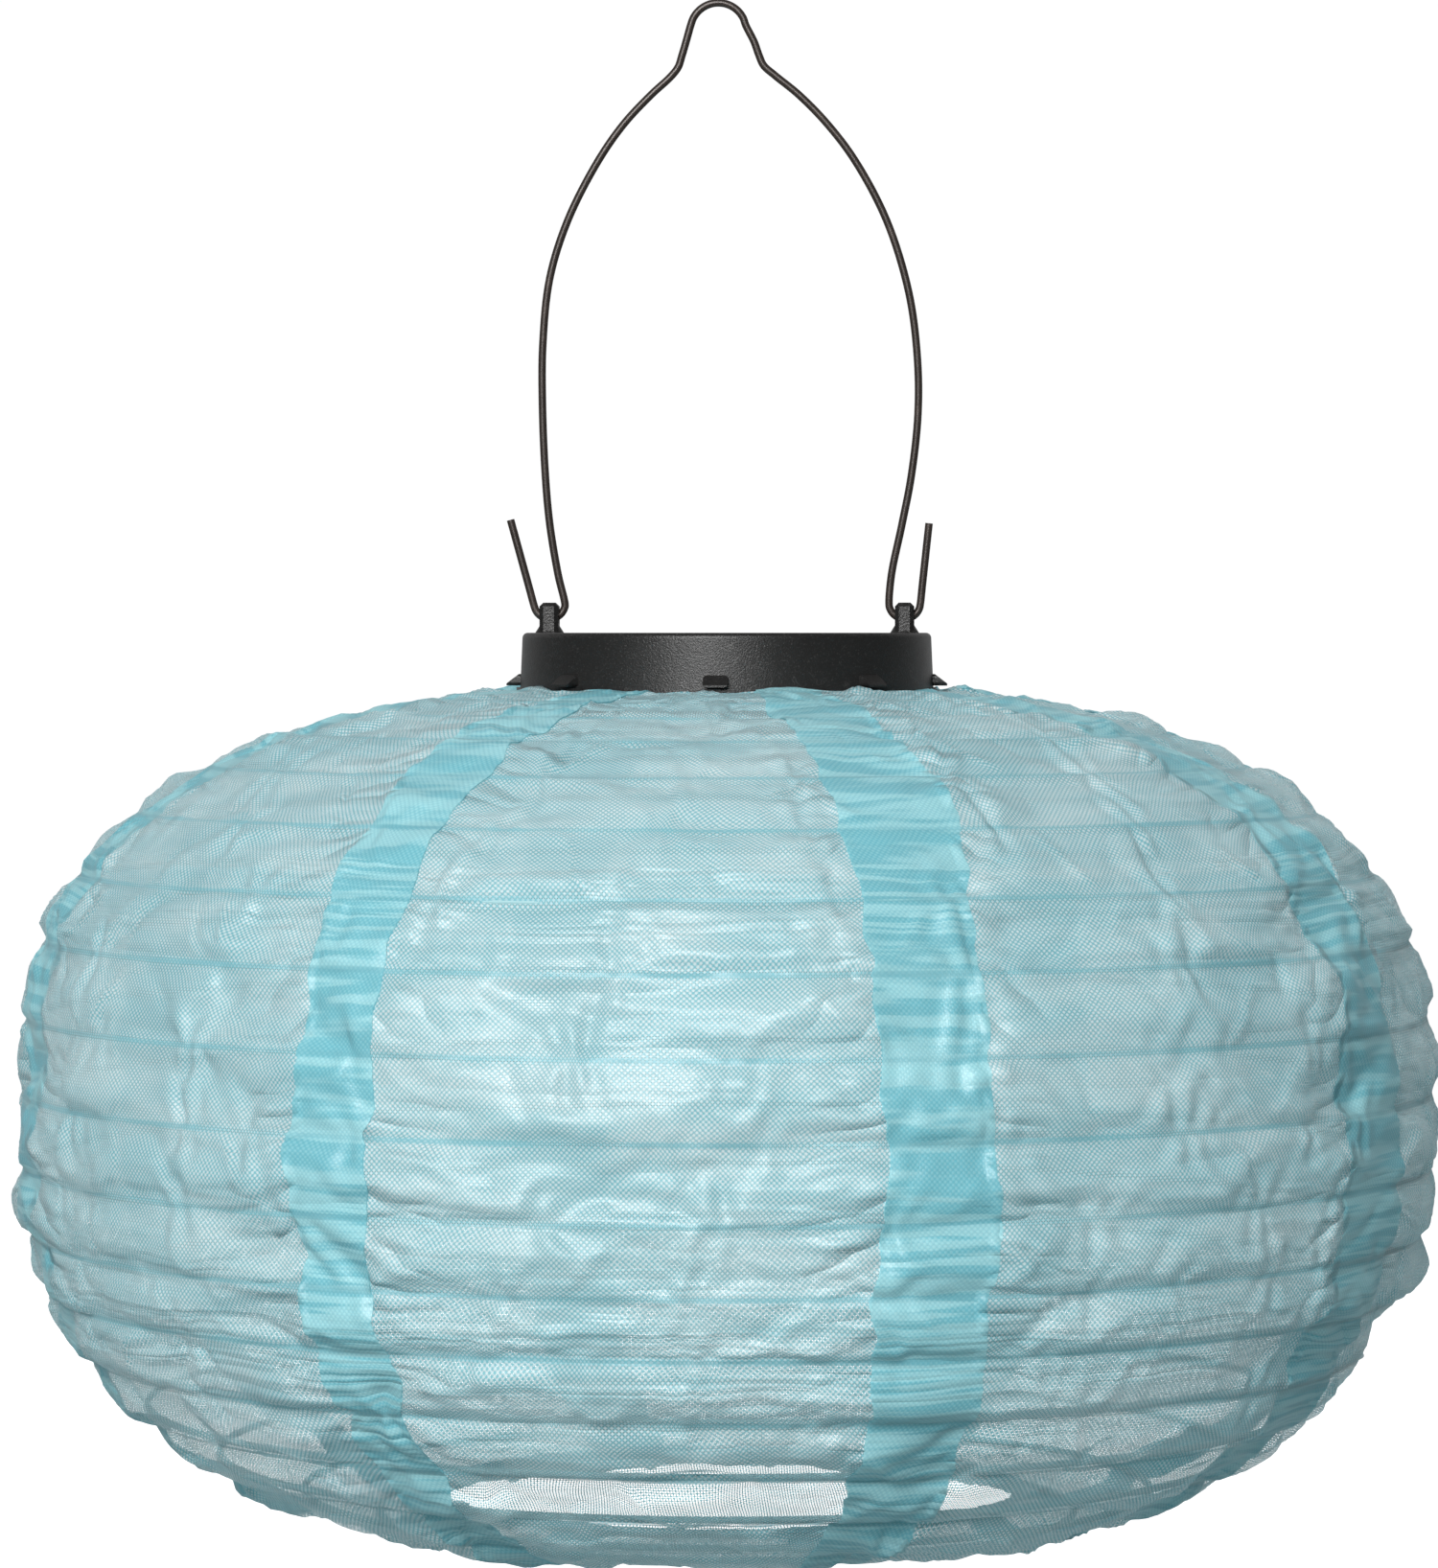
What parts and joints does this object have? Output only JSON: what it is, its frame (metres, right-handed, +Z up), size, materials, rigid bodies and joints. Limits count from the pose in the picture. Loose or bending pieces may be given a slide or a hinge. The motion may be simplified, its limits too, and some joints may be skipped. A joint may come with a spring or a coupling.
{
  "type": "hanging solar lantern",
  "caption": "Round collapsible cloth shade on wire hoops under a snap-in solar lamp cap, hung from a swinging wire bail with a hook loop.",
  "frame": {"origin": "inside of the bail's hook loop, where the lantern hangs", "axes": "+Z up; X along the line of the bail's two eyes; -Y is the front"},
  "size_m": [0.3414, 0.3414, 0.3679],
  "materials": {
    "bail_wire": "dark satin wire",
    "black_plastic": "fine grained moulding",
    "shade_cloth": "open plain-weave nylon",
    "hoop_wire": "coated wire",
    "solar_cells": "dark cells with fine grid lines",
    "panel_cover": "clear cast cover",
    "fastener": "zinc plated",
    "battery": "plain sleeve",
    "contact": "nickel plated",
    "circuit_board": "solder mask",
    "led": "clear epoxy",
    "lens": "frosted dome",
    "switch": "moulded",
    "lead": "insulated wire"
  },
  "bodies": {
    "bail": {"bail_wire": "bail_wire"},
    "lamp_head": {"cap_shell": "black_plastic", "lamp_base": "black_plastic", "battery_door": "black_plastic", "solar_cells": "solar_cells", "panel_cover": "panel_cover", "case_screws": "fastener", "door_screw": "fastener", "battery": "battery", "contact_plate": "contact", "contact_spring": "contact", "circuit_board": "circuit_board", "lamp_led": "led", "light_lens": "lens", "switch_body": "switch", "panel_leads": "lead", "battery_leads": "lead", "top_ring": "hoop_wire", "cloth_panel_1": "shade_cloth", "cloth_panel_2": "shade_cloth", "cloth_panel_3": "shade_cloth", "cloth_panel_4": "shade_cloth", "cloth_panel_5": "shade_cloth", "cloth_panel_6": "shade_cloth", "cloth_panel_7": "shade_cloth", "cloth_panel_8": "shade_cloth"},
    "switch_slider": {"switch_slider": "switch"},
    "bottom_ring": {"bottom_ring": "hoop_wire"},
    "rib_01": {"rib_01": "hoop_wire"},
    "rib_02": {"rib_02": "hoop_wire"},
    "rib_03": {"rib_03": "hoop_wire"},
    "rib_04": {"rib_04": "hoop_wire"},
    "rib_05": {"rib_05": "hoop_wire"},
    "rib_06": {"rib_06": "hoop_wire"},
    "rib_07": {"rib_07": "hoop_wire"},
    "rib_08": {"rib_08": "hoop_wire"},
    "rib_09": {"rib_09": "hoop_wire"},
    "rib_10": {"rib_10": "hoop_wire"},
    "rib_11": {"rib_11": "hoop_wire"},
    "rib_12": {"rib_12": "hoop_wire"},
    "rib_13": {"rib_13": "hoop_wire"},
    "rib_14": {"rib_14": "hoop_wire"},
    "rib_15": {"rib_15": "hoop_wire"},
    "rib_16": {"rib_16": "hoop_wire"},
    "rib_17": {"rib_17": "hoop_wire"}
  },
  "joints": [
    {"name": "bail_swing", "type": "hinge", "parent": "bail", "child": "lamp_head", "pos_m": [0, 0, -0.1474], "axis": [1, 0, 0], "range_deg": [-90, 90]},
    {"name": "switch_slide", "type": "slide", "parent": "lamp_head", "child": "switch_slider", "axis": [1, 0, 0], "range_m": [0, 0.002]},
    {"name": "shade_collapse", "type": "slide", "parent": "lamp_head", "child": "bottom_ring", "axis": [0, 0, 1], "range_m": [0, 0.17], "deforming": ["cloth_panel_1", "cloth_panel_2", "cloth_panel_3", "cloth_panel_4", "cloth_panel_5", "cloth_panel_6", "cloth_panel_7", "cloth_panel_8"]},
    {"name": "rib_01_rise", "type": "slide", "parent": "lamp_head", "child": "rib_01", "axis": [0, 0, 1], "range_m": [0, 0.00195]},
    {"name": "rib_02_rise", "type": "slide", "parent": "lamp_head", "child": "rib_02", "axis": [0, 0, 1], "range_m": [0, 0.00481]},
    {"name": "rib_03_rise", "type": "slide", "parent": "lamp_head", "child": "rib_03", "axis": [0, 0, 1], "range_m": [0, 0.00911]},
    {"name": "rib_04_rise", "type": "slide", "parent": "lamp_head", "child": "rib_04", "axis": [0, 0, 1], "range_m": [0, 0.0159]},
    {"name": "rib_05_rise", "type": "slide", "parent": "lamp_head", "child": "rib_05", "axis": [0, 0, 1], "range_m": [0, 0.02549]},
    {"name": "rib_06_rise", "type": "slide", "parent": "lamp_head", "child": "rib_06", "axis": [0, 0, 1], "range_m": [0, 0.03832]},
    {"name": "rib_07_rise", "type": "slide", "parent": "lamp_head", "child": "rib_07", "axis": [0, 0, 1], "range_m": [0, 0.05194]},
    {"name": "rib_08_rise", "type": "slide", "parent": "lamp_head", "child": "rib_08", "axis": [0, 0, 1], "range_m": [0, 0.06774]},
    {"name": "rib_09_rise", "type": "slide", "parent": "lamp_head", "child": "rib_09", "axis": [0, 0, 1], "range_m": [0, 0.08354]},
    {"name": "rib_10_rise", "type": "slide", "parent": "lamp_head", "child": "rib_10", "axis": [0, 0, 1], "range_m": [0, 0.09895]},
    {"name": "rib_11_rise", "type": "slide", "parent": "lamp_head", "child": "rib_11", "axis": [0, 0, 1], "range_m": [0, 0.11288]},
    {"name": "rib_12_rise", "type": "slide", "parent": "lamp_head", "child": "rib_12", "axis": [0, 0, 1], "range_m": [0, 0.12496]},
    {"name": "rib_13_rise", "type": "slide", "parent": "lamp_head", "child": "rib_13", "axis": [0, 0, 1], "range_m": [0, 0.13782]},
    {"name": "rib_14_rise", "type": "slide", "parent": "lamp_head", "child": "rib_14", "axis": [0, 0, 1], "range_m": [0, 0.14996]},
    {"name": "rib_15_rise", "type": "slide", "parent": "lamp_head", "child": "rib_15", "axis": [0, 0, 1], "range_m": [0, 0.16048]},
    {"name": "rib_16_rise", "type": "slide", "parent": "lamp_head", "child": "rib_16", "axis": [0, 0, 1], "range_m": [0, 0.16878]},
    {"name": "rib_17_rise", "type": "slide", "parent": "lamp_head", "child": "rib_17", "axis": [0, 0, 1], "range_m": [0, 0.17372]}
  ],
  "couplings": [
    {"joint": "rib_01_rise", "follows": "shade_collapse", "ratio": 0.01027},
    {"joint": "rib_02_rise", "follows": "shade_collapse", "ratio": 0.02709},
    {"joint": "rib_03_rise", "follows": "shade_collapse", "ratio": 0.05244},
    {"joint": "rib_04_rise", "follows": "shade_collapse", "ratio": 0.09233},
    {"joint": "rib_05_rise", "follows": "shade_collapse", "ratio": 0.14874},
    {"joint": "rib_06_rise", "follows": "shade_collapse", "ratio": 0.22425},
    {"joint": "rib_07_rise", "follows": "shade_collapse", "ratio": 0.30436},
    {"joint": "rib_08_rise", "follows": "shade_collapse", "ratio": 0.39727},
    {"joint": "rib_09_rise", "follows": "shade_collapse", "ratio": 0.49026},
    {"joint": "rib_10_rise", "follows": "shade_collapse", "ratio": 0.58089},
    {"joint": "rib_11_rise", "follows": "shade_collapse", "ratio": 0.66281},
    {"joint": "rib_12_rise", "follows": "shade_collapse", "ratio": 0.73386},
    {"joint": "rib_13_rise", "follows": "shade_collapse", "ratio": 0.80953},
    {"joint": "rib_14_rise", "follows": "shade_collapse", "ratio": 0.88092},
    {"joint": "rib_15_rise", "follows": "shade_collapse", "ratio": 0.94282},
    {"joint": "rib_16_rise", "follows": "shade_collapse", "ratio": 0.99164},
    {"joint": "rib_17_rise", "follows": "shade_collapse", "ratio": 1.0207}
  ]
}
